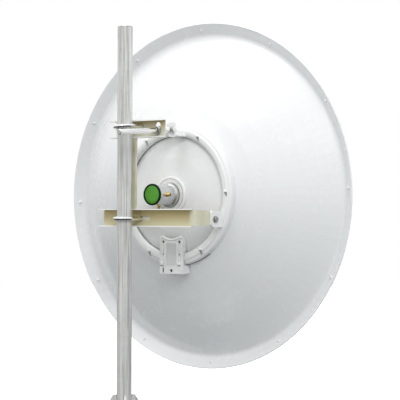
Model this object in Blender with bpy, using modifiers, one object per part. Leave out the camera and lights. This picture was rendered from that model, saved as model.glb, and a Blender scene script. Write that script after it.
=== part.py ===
# Microwave dish antenna on a pole: spun reflector, cast mounting ring, two pole brackets,
# elevation rod, rear feed unit and front feed. Metres, +Z up, dish looks along +Y.
import math

import bmesh
import bpy

# Ground datum and where the dish axis crosses the plane of the rim screws
AXIS = (0.053, 0.325, 0.6774)

# Pole and foot
POLE_R = 0.022
POLE_WALL = 0.0032
POLE_TOP = 1.163
PLATE_SIDE = 0.200
PLATE_T = 0.012
PLATE_HOLE_R = 0.0075
PLATE_HOLE_AT = 0.076
GAP = 0.0003

# Reflector, all in the dish frame: radius from its axis, y along it (front is positive)
VERTEX_Y = -0.172
FOUR_F = 1.291
BOWL_R = 0.4887
BOWL_EDGE_Y = 0.013
RIM_R = 0.5257
RIM_Y = -0.012
RIM_BEND = 0.015
SHEET = 0.0022
FEED_HOLE_R = 0.020
DISH_STEPS = 96

# Mounting ring and lugs
RING_IN = 0.1750
RING_OUT = 0.2095
LUG_IN = 0.1724
LUG_T = 0.0076
PIVOT = (-0.200, -0.0714)
PIVOT_R = 0.006
TOP_CHEEK_X = (0.0250, 0.0320)
TOP_PIVOT = (-0.216, 0.1909)
TOP_BOLT_R = 0.005

# Pole brackets
FOLD_Y = -0.303
WEB_Y = -0.285
BRACKET_T = 0.0032
ARM_OUT = 0.1720
ARM_BEND = 0.0110
LOW_Z = (-0.0939, -0.0419)
ARM_Z = (-0.0899, -0.0464)
UP_Z = (0.1646, 0.2161)
UP_X = (-0.1310, 0.0780)
LOW_HALF = 0.173
POLE_X = -0.053
SPINE_HALF = 0.022
SPINE_T = 0.008

# Clamps and rod
U_R = 0.0058
U_LEG = 0.0283
U_LOW_Z = -0.0702
U_UP_Z = 0.1971
U_UP_ROLL = math.radians(-3.5)
U_TIP_Y = -0.256
STRAP_T = 0.0030
STRAP_HALF = (0.068, 0.013)
ROD_X = 0.038
ROD_R = 0.0080
ROD_REAR_Y = -0.461
ROD_FRONT_Y = -0.2385
ROD_TILT = math.radians(4.3)
EYE_X = (0.0323, 0.0383)
EYE_R = 0.0095
EYE_NECK = 0.0056

# Feed
CAN_R = 0.030
CAN_REAR_Y = -0.2597
CONN_Y = -0.232
FOCUS_Y = 0.151

# Radio plate below the feed
RADIO_Y = -0.172
RADIO_HALF = 0.043
RADIO_Z = (-0.2335, -0.120)
RADIO_DIP = (0.0315, 0.0086)


for old in list(bpy.data.objects):
    bpy.data.objects.remove(old, do_unlink=True)

scene = bpy.context.scene
cutters = bpy.data.collections.new("cutters")
scene.collection.children.link(cutters)


def dish(x, y, z):
    """Point of the dish frame in the part's frame."""
    return (AXIS[0] + x, AXIS[1] + y, AXIS[2] + z)


def material(name, colour, rough, metal):
    mat = bpy.data.materials.new(name)
    mat.use_nodes = True
    shader = mat.node_tree.nodes["Principled BSDF"]
    shader.inputs["Base Color"].default_value = (*colour, 1.0)
    shader.inputs["Roughness"].default_value = rough
    shader.inputs["Metallic"].default_value = metal
    return mat


WHITE = (0.86, 0.87, 0.87)
GALV = (0.56, 0.57, 0.57)
PASSIVATED = (0.70, 0.68, 0.55)
ZINC = (0.66, 0.67, 0.68)
DARK_NUT = (0.17, 0.18, 0.16)
ALU = (0.48, 0.49, 0.50)
GREEN = (0.10, 0.36, 0.06)
GOLD = (0.74, 0.53, 0.19)


def finish(obj, colour, rough=0.5, metal=0.0, smooth=True):
    """Give the piece its own material and soften the shading of its round faces."""
    obj.data.materials.clear()
    obj.data.materials.append(material(obj.name + "_finish", colour, rough, metal))
    if smooth:
        obj.data.shade_smooth()
        obj.data.set_sharp_from_angle(angle=math.radians(32))
    return obj


def link(name, mesh):
    obj = bpy.data.objects.new(name, mesh)
    scene.collection.objects.link(obj)
    return obj


def turned(name, profile, place, rotation=(0, 0, 0), closed=False, steps=32):
    """Spin a profile of (radius, height) about the local z axis."""
    mesh = bpy.data.meshes.new(name)
    edges = [(i, i + 1) for i in range(len(profile) - 1)]
    if closed:
        edges.append((len(profile) - 1, 0))
    mesh.from_pydata([(r, 0.0, z) for r, z in profile], edges, [])
    obj = link(name, mesh)
    obj.location = place
    obj.rotation_euler = rotation
    screw = obj.modifiers.new("spin", "SCREW")
    screw.axis = "Z"
    screw.angle = math.tau
    screw.steps = screw.render_steps = steps
    screw.use_merge_vertices = True
    screw.merge_threshold = 0.00005
    return obj


def circle(x, y, radius, count=24):
    return [(x + radius * math.cos(math.tau * i / count),
             y + radius * math.sin(math.tau * i / count)) for i in range(count)]


def slot(x, y, length, width, upright=False, count=8):
    """Rounded slot centred at (x, y)."""
    r = width / 2
    half = length / 2 - r
    pts = []
    for side in (1, -1):
        for i in range(count + 1):
            a = math.pi * (i / count - 0.5)
            pts.append((side * (half + r * math.cos(a)), side * r * math.sin(a)))
    if upright:
        pts = [(-v, u) for u, v in pts]
    return [(x + u, y + v) for u, v in pts]


def rounded(points, radius, count=5):
    """Round every corner of a closed outline."""
    out = []
    n = len(points)
    for i, p in enumerate(points):
        a, b = points[i - 1], points[(i + 1) % n]
        u = (a[0] - p[0], a[1] - p[1])
        v = (b[0] - p[0], b[1] - p[1])
        lu, lv = math.hypot(*u), math.hypot(*v)
        u, v = (u[0] / lu, u[1] / lu), (v[0] / lv, v[1] / lv)
        half = math.acos(max(-1.0, min(1.0, u[0] * v[0] + u[1] * v[1]))) / 2
        cut = min(radius / math.tan(half), lu * 0.49, lv * 0.49)
        r = cut * math.tan(half)
        mid = (u[0] + v[0], u[1] + v[1])
        lm = math.hypot(*mid)
        centre = (p[0] + mid[0] / lm * r / math.sin(half), p[1] + mid[1] / lm * r / math.sin(half))
        start = (p[0] + u[0] * cut - centre[0], p[1] + u[1] * cut - centre[1])
        end = (p[0] + v[0] * cut - centre[0], p[1] + v[1] * cut - centre[1])
        a0 = math.atan2(start[1], start[0])
        turn = math.atan2(end[1], end[0]) - a0
        turn = (turn + math.pi) % math.tau - math.pi
        for k in range(count + 1):
            t = a0 + turn * k / count
            out.append((centre[0] + r * math.cos(t), centre[1] + r * math.sin(t)))
    return out


def tidy(mesh):
    bm = bmesh.new()
    bm.from_mesh(mesh)
    bmesh.ops.remove_doubles(bm, verts=bm.verts, dist=0.00001)
    bmesh.ops.recalc_face_normals(bm, faces=bm.faces)
    bm.to_mesh(mesh)
    bm.free()


def to_mesh(curve_obj, name):
    """Replace a curve object with the solid mesh that it makes."""
    graph = bpy.context.evaluated_depsgraph_get()
    mesh = bpy.data.meshes.new_from_object(curve_obj.evaluated_get(graph))
    mesh.name = name
    tidy(mesh)
    obj = link(name + "_solid", mesh)
    obj.matrix_world = curve_obj.matrix_world.copy()
    bpy.data.objects.remove(curve_obj, do_unlink=True)
    obj.name = name
    return obj


def sheet(name, loops, depth, place, rotation=(0, 0, 0)):
    """Flat outline, its first loop outside and the rest holes, thickened about its own plane."""
    curve = bpy.data.curves.new(name + "_outline", "CURVE")
    curve.dimensions = "2D"
    curve.fill_mode = "BOTH"
    curve.extrude = depth / 2
    for loop in loops:
        spline = curve.splines.new("POLY")
        spline.points.add(len(loop) - 1)
        for point, (x, y) in zip(spline.points, loop):
            point.co = (x, y, 0.0, 1.0)
        spline.use_cyclic_u = True
    obj = link(name + "_outline", curve)
    obj.location = place
    obj.rotation_euler = rotation
    bpy.context.view_layer.update()
    return to_mesh(obj, name)


def bar(name, points, radius, place=(0, 0, 0), rotation=(0, 0, 0), sides=3):
    """Round bar along a path."""
    curve = bpy.data.curves.new(name + "_path", "CURVE")
    curve.dimensions = "3D"
    curve.bevel_depth = radius
    curve.bevel_resolution = sides
    curve.use_fill_caps = True
    spline = curve.splines.new("POLY")
    spline.points.add(len(points) - 1)
    for point, co in zip(spline.points, points):
        point.co = (*co, 1.0)
    obj = link(name + "_path", curve)
    obj.location = place
    obj.rotation_euler = rotation
    bpy.context.view_layer.update()
    return to_mesh(obj, name)


def join(base, tool, operation="UNION"):
    """Add a tool to a solid, or cut it away."""
    scene.collection.objects.unlink(tool)
    cutters.objects.link(tool)
    tool.hide_render = True
    tool.display_type = "WIRE"
    mod = base.modifiers.new("join_" + tool.name[:30], "BOOLEAN")
    mod.operation = operation
    mod.solver = "EXACT"
    mod.object = tool
    return base


def hexagon(across, flat_up=True):
    r = across / math.sqrt(3)
    off = 0.0 if flat_up else math.pi / 6
    return [(r * math.cos(math.pi / 3 * i + off), r * math.sin(math.pi / 3 * i + off)) for i in range(6)]


UPRIGHT = (math.pi / 2, 0, 0)              # outline x, y lies in the part's x, z
SIDEWAYS = (math.pi / 2, 0, math.pi / 2)   # outline x, y lies in the part's y, z
REARWARD = (math.pi / 2, 0, 0)             # a turned piece's height runs to the rear


# Foot plate, pole and its plug
corner = PLATE_SIDE / 2
foot_loops = [rounded([(-corner, -corner), (corner, -corner), (corner, corner), (-corner, corner)], 0.014)]
for sx in (-1, 1):
    for sy in (-1, 1):
        foot_loops.append(circle(sx * PLATE_HOLE_AT, sy * PLATE_HOLE_AT, PLATE_HOLE_R))
finish(sheet("foot_plate", foot_loops, PLATE_T, (0, 0, PLATE_T / 2)), GALV, 0.5, 0.8)

pole_bottom = PLATE_T + GAP
pole_in = POLE_R - POLE_WALL
finish(turned("pole", [(pole_in, POLE_TOP), (POLE_R, POLE_TOP), (POLE_R, pole_bottom),
                       (pole_in, pole_bottom)], (0, 0, 0), closed=True, steps=40), GALV, 0.45, 0.8)

plug_r = pole_in - GAP
dome = [(POLE_R * math.sin(a), POLE_TOP + GAP + 0.002 + 0.0045 * math.cos(a))
        for a in [math.radians(d) for d in (0, 18, 36, 54, 72, 90)]]
dome[0] = (0.0, dome[0][1])
finish(turned("pole_cap", dome + [(POLE_R, POLE_TOP + GAP), (plug_r, POLE_TOP + GAP),
                                  (plug_r, POLE_TOP - 0.016), (0.0, POLE_TOP - 0.016)],
              (0, 0, 0), steps=40), GALV, 0.5, 0.6)

for i in range(4):
    a = math.pi / 4 + i * math.pi / 2
    near, far = POLE_R + GAP, POLE_R + 0.052
    low = PLATE_T + GAP
    fin = [(near, low), (far, low), (far, low + 0.012), (near + 0.010, low + 0.085), (near, low + 0.085)]
    finish(sheet("gusset_%d" % (i + 1), [fin], 0.006, (0, 0, 0), (math.pi / 2, 0, a)), GALV, 0.5, 0.8, False)

# Lower bracket: folded web with lips to the rear and arms to the front
t = BRACKET_T
flat = ARM_OUT - ARM_BEND
arm_tip = PIVOT[0] + 0.0215


def bracket_plan():
    """Plan of the web and its two arms as one folded strip."""
    outer, inner = [], []
    for side in (-1, 1):
        run_out, run_in = [(side * ARM_OUT, arm_tip)], [(side * (ARM_OUT - t), arm_tip)]
        for k in range(7):
            a = math.radians(90 * k / 6)
            cx, cy = side * flat, WEB_Y + ARM_BEND
            run_out.append((cx + side * ARM_BEND * math.cos(a), cy - ARM_BEND * math.sin(a)))
            run_in.append((cx + side * (ARM_BEND - t) * math.cos(a), cy - (ARM_BEND - t) * math.sin(a)))
        outer.append(run_out)
        inner.append(run_in)
    return outer[0] + outer[1][::-1] + inner[1] + inner[0][::-1]


arm_h = ARM_Z[1] - ARM_Z[0]
low_h = LOW_Z[1] - LOW_Z[0]
lip_w = WEB_Y - FOLD_Y + t
lower = sheet("lower_bracket", [bracket_plan()], arm_h, dish(0, 0, (ARM_Z[0] + ARM_Z[1]) / 2))
inset = 0.0008
web_low = [(-flat, LOW_Z[0] + inset), (flat, LOW_Z[0] + inset), (flat, LOW_Z[1] - inset), (-flat, LOW_Z[1] - inset)]
join(lower, sheet("low_web_face", [web_low], t, dish(0, WEB_Y + t / 2, 0), UPRIGHT))
for tag, z in (("top", LOW_Z[1] - t / 2), ("under", LOW_Z[0] + t / 2)):
    lip = [(-LOW_HALF, FOLD_Y), (LOW_HALF, FOLD_Y), (flat - inset, WEB_Y + t - inset),
           (inset - flat, WEB_Y + t - inset)]
    join(lower, sheet("low_lip_" + tag, [lip], t, dish(0, 0, z)))
end_r = arm_h / 2 - 0.0004
end_z = (ARM_Z[0] + ARM_Z[1]) / 2
trim = [(PIVOT[0] + end_r * math.cos(math.radians(d)), end_z + end_r * math.sin(math.radians(d)))
        for d in range(-90, 91, 10)]
trim += [(PIVOT[0], ARM_Z[1] + 0.01), (PIVOT[0] + 0.05, ARM_Z[1] + 0.01), (PIVOT[0] + 0.05, ARM_Z[0] - 0.01),
         (PIVOT[0], ARM_Z[0] - 0.01)]
join(lower, sheet("arm_trim", [trim], 0.45, dish(0, 0, 0), SIDEWAYS), "DIFFERENCE")
for side in (-1, 1):
    hole = sheet("arm_hole_%d" % (side + 2), [circle(PIVOT[0], PIVOT[1], PIVOT_R + GAP)], 0.020,
                 dish(side * (ARM_OUT - t / 2), 0, 0), SIDEWAYS)
    join(lower, hole, "DIFFERENCE")
    leg_slot = slot(POLE_X + side * 0.042, U_LOW_Z, 0.042, 0.0150)
    join(lower, sheet("low_slot_%d" % (side + 2), [leg_slot], 0.020, dish(0, WEB_Y, 0), UPRIGHT), "DIFFERENCE")
finish(lower, PASSIVATED, 0.45, 0.5)

# Upper bracket: the same lipped web without arms
up_ends = (UP_X[0] + 0.0145, UP_X[1] - 0.0145)
web_up = [(up_ends[0], UP_Z[0] + inset), (up_ends[1], UP_Z[0] + inset),
          (up_ends[1], UP_Z[1] - inset), (up_ends[0], UP_Z[1] - inset)]
up_loops = [web_up, slot(ROD_X, 0.1901, 0.039, 0.0186, True)]
upper = sheet("upper_bracket", up_loops, t, dish(0, WEB_Y + t / 2, 0), UPRIGHT)
for tag, z in (("top", UP_Z[1] - t / 2), ("under", UP_Z[0] + t / 2)):
    lip = [(UP_X[0], FOLD_Y), (UP_X[1], FOLD_Y), (up_ends[1] - inset, WEB_Y + t - inset),
           (up_ends[0] + inset, WEB_Y + t - inset)]
    join(upper, sheet("up_lip_" + tag, [lip], t, dish(0, 0, z)))
for side in (-1, 1):
    leg_slot = slot(POLE_X + side * 0.042, U_UP_Z, 0.042, 0.0156)
    join(upper, sheet("up_slot_%d" % (side + 2), [leg_slot], 0.020, dish(0, WEB_Y, 0), UPRIGHT), "DIFFERENCE")
finish(upper, PASSIVATED, 0.45, 0.5)

# Flat bar joining the brackets along the pole
spine = [(POLE_X - SPINE_HALF, LOW_Z[1] + GAP), (POLE_X + SPINE_HALF, LOW_Z[1] + GAP),
         (POLE_X + SPINE_HALF, UP_Z[0] - GAP), (POLE_X - SPINE_HALF, UP_Z[0] - GAP)]
finish(sheet("spine_bar", [spine], SPINE_T, dish(0, FOLD_Y + SPINE_T / 2 + 0.0006, 0), UPRIGHT),
       PASSIVATED, 0.5, 0.5, False)

# Clamps round the pole, with their straps and nuts on the front of the webs
leg_run = U_TIP_Y + AXIS[1]
arc = [(U_LEG * math.cos(math.radians(d)), U_LEG * math.sin(math.radians(d)), 0.0) for d in range(0, -181, -10)]
u_path = [(U_LEG, leg_run, 0.0)] + arc + [(-U_LEG, leg_run, 0.0)]
strap_y = WEB_Y + t + GAP
nut_y = strap_y + STRAP_T + GAP
for tag, z, roll in (("lower", U_LOW_Z, 0.0), ("upper", U_UP_Z, U_UP_ROLL)):
    finish(bar("u_bolt_" + tag, u_path, U_R, (0, 0, AXIS[2] + z), (0, roll, 0), 2), ZINC, 0.3, 0.9)
    rise = -U_LEG * math.sin(roll)
    sx, sz = STRAP_HALF
    strap = rounded([(POLE_X - sx, z - sz), (POLE_X + sx, z - sz), (POLE_X + sx, z + sz), (POLE_X - sx, z + sz)], 0.006, 4)
    bores = [circle(POLE_X + side * U_LEG, z + side * rise, U_R + 0.0008, 20) for side in (-1, 1)]
    finish(sheet("strap_" + tag, [strap] + bores, STRAP_T, dish(0, strap_y + STRAP_T / 2, 0), UPRIGHT),
           PASSIVATED, 0.5, 0.5, False)
    for side, word in ((-1, "left"), (1, "right")):
        nut = sheet("u_nut_%s_%s" % (tag, word), [hexagon(0.0185), circle(0, 0, U_R + 0.0007, 20)], 0.0084,
                    dish(POLE_X + side * U_LEG, nut_y + 0.0042, z + side * rise), UPRIGHT)
        finish(nut, ZINC, 0.35, 0.9, False)

# Nuts that hold the rod on the web
slope = math.tan(ROD_TILT)
for tag, y in (("rear", WEB_Y - GAP - 0.005), ("front", WEB_Y + t + GAP + 0.004)):
    z = TOP_PIVOT[1] + (y - TOP_PIVOT[0]) * slope - 0.0009
    deep = 0.010 if tag == "rear" else 0.008
    nut = sheet("web_nut_" + tag, [hexagon(0.024, False), circle(0, 0, ROD_R + 0.0021, 28)], deep,
                dish(ROD_X, y, z), UPRIGHT)
    finish(nut, DARK_NUT, 0.45, 0.7, False)

# Pivot bolts: head outside the lug, nut inside the arm
for side, word in ((-1, "left"), (1, "right")):
    out = LUG_IN + LUG_T
    turn = (0, side * math.pi / 2, 0)
    shank = turned("pivot_bolt_" + word, [(0.0, out + 0.0010), (PIVOT_R, out + 0.0010), (PIVOT_R, 0.1550),
                                          (0.0, 0.1550)], dish(0, *PIVOT), turn, steps=24)
    head = sheet("pivot_head_" + word, [hexagon(0.017)], 0.0075,
                 dish(side * (out + GAP + 0.00375), *PIVOT), SIDEWAYS)
    nut = sheet("pivot_nut_" + word, [hexagon(0.017)], 0.0100,
                dish(side * (ARM_OUT - t - GAP - 0.005), *PIVOT), SIDEWAYS)
    join(shank, head)
    join(shank, nut)
    finish(shank, DARK_NUT, 0.45, 0.7, False)

# Reflector: spun bowl with its edge turned outward and back


def bowl_y(radius, front=0.0):
    return VERTEX_Y + radius * radius / FOUR_F + front


bowl = [FEED_HOLE_R, 0.06, 0.11, 0.16, 0.21, 0.26, 0.31, 0.355, 0.395, 0.43, 0.456]
rear = [(r, -bowl_y(r)) for r in bowl]
rise_in = math.atan(2 * BOWL_R / FOUR_F)
fall_out = math.atan((BOWL_EDGE_Y - RIM_Y) / (RIM_R - BOWL_R))
run = RIM_BEND * math.tan((rise_in + fall_out) / 2)
bend_r = BOWL_R - run * math.cos(rise_in) + RIM_BEND * math.sin(rise_in)
bend_y = BOWL_EDGE_Y - run * math.sin(rise_in) - RIM_BEND * math.cos(rise_in)
turns = [rise_in - (rise_in + fall_out) * k / 6 for k in range(7)]


def bend(radius):
    return [(bend_r - radius * math.sin(a), -(bend_y + radius * math.cos(a))) for a in turns]


lip_rear = bend(RIM_BEND) + [(RIM_R - 0.004, -RIM_Y - 0.0005), (RIM_R - 0.0012, -RIM_Y + 0.0012), (RIM_R, -RIM_Y)]
lip_front = [(RIM_R + 0.0002, -RIM_Y - 0.0020), (RIM_R - 0.0012, -RIM_Y - 0.0034)] + bend(RIM_BEND + SHEET - 0.0003)[::-1]
front = [(r, -bowl_y(r, SHEET)) for r in bowl]
reflector = turned("reflector", rear + lip_rear + lip_front + front[::-1], dish(0, 0, 0), REARWARD, True, DISH_STEPS)
finish(reflector, WHITE, 0.22)

# Cast ring on the back of the bowl with its three lugs
gap = 0.0004
under = [(RING_OUT, -bowl_y(RING_OUT) + gap), (0.197, -bowl_y(0.197) + gap), (0.184, -bowl_y(0.184) + gap),
         (RING_IN, -bowl_y(RING_IN) + gap)]
crest = [(RING_IN, 0.1535), (0.1762, 0.1575), (0.1785, 0.1608), (0.1820, 0.1632), (0.1870, 0.1645), (0.1945, 0.1645),
         (0.1975, 0.1630), (0.1996, 0.1606), (0.2018, 0.1604), (0.2046, 0.1598), (0.2076, 0.1578), (0.2091, 0.1545),
         (RING_OUT, 0.1500)]
ring = turned("mounting_ring", crest + under, dish(0, 0, 0), REARWARD, True, DISH_STEPS)
base_y = -0.150
for side in (-1, 1):
    cheek = [(-0.2145, -0.0515), (-0.2105, -0.0474), (base_y, -0.0474), (base_y, -0.0944), (-0.2065, -0.0944),
             (-0.2145, -0.0865)]
    mid = side * (LUG_IN + LUG_T / 2)
    join(ring, sheet("cheek_%d" % (side + 2), [cheek], LUG_T, dish(mid, 0, 0), SIDEWAYS))
    hole = sheet("cheek_hole_%d" % (side + 2), [circle(PIVOT[0], PIVOT[1], PIVOT_R + GAP)], 0.020,
                 dish(mid, 0, 0), SIDEWAYS)
    join(ring, hole, "DIFFERENCE")
top_cheek = [(-0.2280, 0.1730), (-0.2245, 0.1695), (-0.1760, 0.1695), (-0.1580, 0.1775), (-0.1520, 0.1850),
             (-0.1520, 0.1960), (-0.1640, 0.1890), (-0.1780, 0.1870), (-0.1900, 0.1940), (-0.1900, 0.2080),
             (-0.1940, 0.2120), (-0.2240, 0.2120), (-0.2280, 0.2080)]
cheek_mid = (TOP_CHEEK_X[0] + TOP_CHEEK_X[1]) / 2
join(ring, sheet("top_cheek", [top_cheek], TOP_CHEEK_X[1] - TOP_CHEEK_X[0], dish(cheek_mid, 0, 0), SIDEWAYS))
shelf = [(0.010, -0.1525), (0.010, -0.190), (0.014, -0.195), (0.042, -0.195), (0.046, -0.190), (0.046, -0.1525)]
join(ring, sheet("top_shelf", [shelf], 0.0032, dish(0, 0, 0.1738)))
join(ring, sheet("top_hole", [circle(TOP_PIVOT[0], TOP_PIVOT[1], TOP_BOLT_R + GAP)], 0.016,
                 dish(cheek_mid, 0, 0), SIDEWAYS), "DIFFERENCE")
finish(ring, WHITE, 0.3)

# Rod that sets the elevation, its flat eye beside the top cheek and the bolt through both
cosr, sinr = math.cos(ROD_TILT), math.sin(ROD_TILT)
far, near = ((TOP_PIVOT[0] - y) / cosr for y in (ROD_REAR_Y, ROD_FRONT_Y))
rod = turned("elevation_rod", [(0.0, far), (ROD_R - 0.0015, far), (ROD_R, far - 0.0015), (ROD_R, near + 0.0015),
                               (ROD_R - 0.0015, near), (0.0, near)],
             dish(ROD_X, *TOP_PIVOT), (math.pi / 2 + ROD_TILT, 0, 0), steps=28)
reach = near + 0.010
knee = math.asin(EYE_NECK / EYE_R)
tongue = [(reach, -EYE_NECK), (reach, EYE_NECK)]
tongue += [(EYE_R * math.cos(a), EYE_R * math.sin(a))
           for a in (knee + (2 * math.pi - 2 * knee) * k / 24 for k in range(25))]
tongue = [(TOP_PIVOT[0] - u * cosr - v * sinr, TOP_PIVOT[1] - u * sinr + v * cosr) for u, v in tongue]
eye_mid = (EYE_X[0] + EYE_X[1]) / 2
join(rod, sheet("rod_eye", [tongue], EYE_X[1] - EYE_X[0], dish(eye_mid, 0, 0), SIDEWAYS))
join(rod, sheet("rod_eye_hole", [circle(TOP_PIVOT[0], TOP_PIVOT[1], TOP_BOLT_R + GAP)], 0.030,
                dish(eye_mid, 0, 0), SIDEWAYS), "DIFFERENCE")
finish(rod, DARK_NUT, 0.4, 0.8)
head_x, nut_x = EYE_X[1] + GAP + 0.0035, TOP_CHEEK_X[0] - GAP - 0.00375
bolt = turned("lug_bolt", [(0.0, head_x), (TOP_BOLT_R, head_x), (TOP_BOLT_R, nut_x - 0.006), (0.0, nut_x - 0.006)],
              dish(0, *TOP_PIVOT), (0, math.pi / 2, 0), steps=24)
join(bolt, sheet("lug_bolt_head", [hexagon(0.017)], 0.0070, dish(head_x, *TOP_PIVOT), SIDEWAYS))
join(bolt, sheet("lug_bolt_nut", [hexagon(0.017)], 0.0075, dish(nut_x, *TOP_PIVOT), SIDEWAYS))
finish(bolt, DARK_NUT, 0.45, 0.7, False)

# Feed unit on the back: flange, can, cap and two connectors
hub = -bowl_y(0.056) + gap
finish(turned("feed_flange", [(0.0200, 0.1785), (0.0520, 0.1785), (0.0552, 0.1765), (0.0560, 0.1735), (0.0560, hub),
                              (0.0400, -bowl_y(0.040) + gap), (0.0200, -bowl_y(0.020) + gap)], dish(0, 0, 0), REARWARD,
              True, 48), WHITE, 0.3)
can = [(0.0, -CAN_REAR_Y), (CAN_R - 0.0015, -CAN_REAR_Y), (CAN_R, -CAN_REAR_Y - 0.0015), (CAN_R, 0.1945),
       (0.0345, 0.1925), (0.0362, 0.1890), (0.0362, 0.1835), (0.0345, 0.1800), (0.0325, 0.1785 + GAP), (0.0, 0.1785 + GAP)]
finish(turned("feed_can", can, dish(0, 0, 0), REARWARD, False, 48), ALU, 0.4, 0.8)
cap_in = -CAN_REAR_Y + GAP
finish(turned("feed_cap", [(0.0, cap_in + 0.0062), (0.0290, cap_in + 0.0062), (0.0312, cap_in + 0.0045),
                           (0.0316, cap_in + 0.0025), (0.0316, cap_in + 0.0008), (0.0308, cap_in), (0.0, cap_in)],
              dish(0, 0, 0), REARWARD, False, 48), GREEN, 0.4)


def connector(name, radius, length, rotation):
    near = CAN_R + GAP + 0.0006
    prof = [(0.0, near + length), (radius * 0.80, near + length), (radius * 0.88, near + length - 0.0008),
            (radius * 0.88, near + length * 0.55), (radius, near + length * 0.50), (radius, near + 0.0012),
            (radius * 0.95, near), (0.0, near)]
    return finish(turned(name, prof, dish(0, CONN_Y, 0), rotation, False, 28), GOLD, 0.3, 0.9)


connector("connector_side", 0.0072, 0.0112, (0, math.pi / 2, 0))
connector("connector_under", 0.0052, 0.0150, (math.pi, 0, 0))

# Feed pipe through the bowl, with the splash head at the focus
pipe_rear = 0.1785 - GAP
finish(turned("feed_pipe", [(0.0, pipe_rear), (0.0135, pipe_rear), (0.0135, -FOCUS_Y + 0.030), (0.0, -FOCUS_Y + 0.030)],
              dish(0, 0, 0), REARWARD, False, 32), ALU, 0.35, 0.8)
head_near = -FOCUS_Y + 0.030 - GAP
finish(turned("feed_head", [(0.0, head_near), (0.0125, head_near), (0.0150, head_near - 0.004),
                            (0.0400, head_near - 0.030), (0.0420, head_near - 0.034), (0.0420, head_near - 0.042),
                            (0.0400, head_near - 0.044), (0.0, head_near - 0.044)],
              dish(0, 0, 0), REARWARD, False, 48), (0.82, 0.82, 0.80), 0.5)

# Radio plate bridging the ring at its lowest point
z0, z1 = RADIO_Z
dip, sag = RADIO_DIP
panel = [(-RADIO_HALF, z0), (RADIO_HALF, z0), (RADIO_HALF, z1 - 0.004), (RADIO_HALF - 0.004, z1)]
panel += [(dip * (1 - k / 6), z1 - sag * (1 - (1 - k / 6) ** 2)) for k in range(13)]
panel += [(0.004 - RADIO_HALF, z1), (-RADIO_HALF, z1 - 0.004)]
holes = [circle(sx * 0.030, -0.139, 0.0042, 16) for sx in (-1, 1)]
holes += [circle(sx * 0.030, -0.176, 0.0028, 16) for sx in (-1, 1)]
holes.append(circle(0.0, -0.224, 0.0050, 16))
plate = sheet("radio_plate", [panel] + holes, 0.005, dish(0, RADIO_Y + 0.0025, 0), UPRIGHT)
for side in (-1, 1):
    wall = [(RADIO_Y + 0.001, z0 + 0.001), (RADIO_Y + 0.001, z1 - 0.005), (-0.1603, z1 - 0.005), (-0.1575, -0.135),
            (-0.1542, -0.150), (-0.1512, -0.163), (-0.1560, -0.1672), (-0.1655, -0.1765), (-0.1655, -0.2068),
            (-0.1450, -0.2090), (-0.1370, -0.2160), (-0.1370, z0 + 0.001)]
    join(plate, sheet("radio_wall_%d" % (side + 2), [wall], 0.006, dish(side * (RADIO_HALF - 0.0036), 0, 0), SIDEWAYS))
finish(plate, WHITE, 0.35)
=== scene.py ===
"""Microwave dish antenna seen from behind: finishes, small parts, light and camera."""
import math
import random

import bmesh
import bpy
from mathutils import Matrix, Vector


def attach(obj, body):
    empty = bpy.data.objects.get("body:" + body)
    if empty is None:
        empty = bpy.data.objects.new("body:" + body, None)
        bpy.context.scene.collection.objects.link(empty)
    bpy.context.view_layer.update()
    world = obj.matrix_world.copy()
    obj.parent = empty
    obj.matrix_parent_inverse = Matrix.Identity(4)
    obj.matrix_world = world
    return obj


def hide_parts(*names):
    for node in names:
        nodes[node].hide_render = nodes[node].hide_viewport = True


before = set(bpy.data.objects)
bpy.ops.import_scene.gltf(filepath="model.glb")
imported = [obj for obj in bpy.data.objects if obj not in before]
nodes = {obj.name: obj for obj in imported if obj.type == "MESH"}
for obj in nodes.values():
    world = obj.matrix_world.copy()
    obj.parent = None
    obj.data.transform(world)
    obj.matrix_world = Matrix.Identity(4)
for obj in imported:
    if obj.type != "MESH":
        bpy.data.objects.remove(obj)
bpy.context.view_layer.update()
random.seed(11)

# The dish axis in the part's frame, and the sizes that the solids are made to
AXIS = Vector((0.053, 0.325, 0.6774))
VERTEX_Y, FOUR_F, SHEET = -0.172, 1.291, 0.0022
BOWL_R, BOWL_EDGE_Y, RIM_R, RIM_Y, SCREW_R = 0.4887, 0.013, 0.5257, -0.012, 0.508
POLE_R, POLE_TOP, PLATE_T = 0.022, 1.163, 0.012
RING_IN, RING_OUT, CREST_Y = 0.1750, 0.2095, -0.1645
LUG_IN, LUG_T, PIVOT = 0.1724, 0.0076, (-0.200, -0.0714)
TOP_PIVOT = (-0.216, 0.1909)
ROD_X, ROD_R, ROD_TILT, ROD_REAR_Y = 0.038, 0.008, math.radians(4.3), -0.461
WEB_Y, BRACKET_T, FOLD_Y, ARM_OUT = -0.285, 0.0032, -0.303, 0.1720
POLE_X, U_R, U_LEG, U_TIP_Y = -0.053, 0.0058, 0.0283, -0.256
U_HEIGHTS = {"lower": (-0.0702, 0.0), "upper": (0.1971, math.radians(-3.5))}
CAN_R, CAN_REAR_Y, CONN_Y, FOCUS_Y = 0.030, -0.2597, -0.232, 0.151


def dish(x, y, z):
    """Point of the dish frame in the part's frame."""
    return AXIS + Vector((x, y, z))


# Materials


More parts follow.
